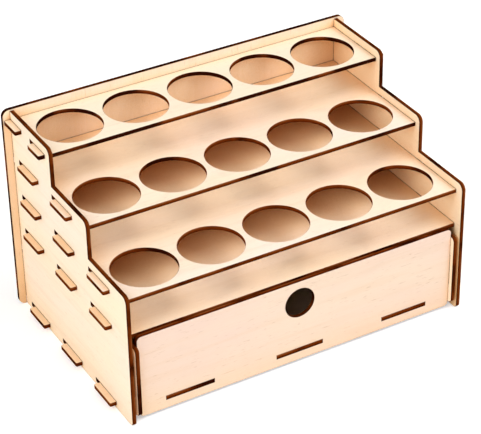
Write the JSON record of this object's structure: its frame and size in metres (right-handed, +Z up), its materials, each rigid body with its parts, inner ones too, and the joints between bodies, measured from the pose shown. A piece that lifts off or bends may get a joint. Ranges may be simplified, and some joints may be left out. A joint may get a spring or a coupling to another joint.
{
  "type": "hobby bottle rack with drawer",
  "caption": "Stepped plywood rack with round bottle holes on each tier, slotted together from sheets, over a full-width drawer with a finger hole.",
  "frame": {"origin": "on the bench, under the middle of the whole rack with the drawer shut", "axes": "+X along the width, to the right as seen from the front; -Y forwards, the way the drawer opens; +Z up"},
  "size_m": [0.2732, 0.1732, 0.1595],
  "materials": {
    "cabinet_ply": "raw birch plywood, laser-cut edges charred brown",
    "drawer_ply": "raw birch plywood, laser-cut edges charred brown"
  },
  "bodies": {
    "cabinet": {"left_side_panel": "cabinet_ply", "right_side_panel": "cabinet_ply", "back_panel": "cabinet_ply", "top_tier_plate": "cabinet_ply", "middle_tier_plate": "cabinet_ply", "front_tier_plate": "cabinet_ply", "drawer_bay_top": "cabinet_ply", "base_plate": "cabinet_ply"},
    "drawer": {"drawer_front": "drawer_ply", "drawer_left_side": "drawer_ply", "drawer_right_side": "drawer_ply", "drawer_back": "drawer_ply", "drawer_bottom": "drawer_ply"}
  },
  "joints": [
    {"name": "drawer_slide", "type": "slide", "parent": "cabinet", "child": "drawer", "axis": [0, -1, 0], "range_m": [0, 0.12]}
  ]
}
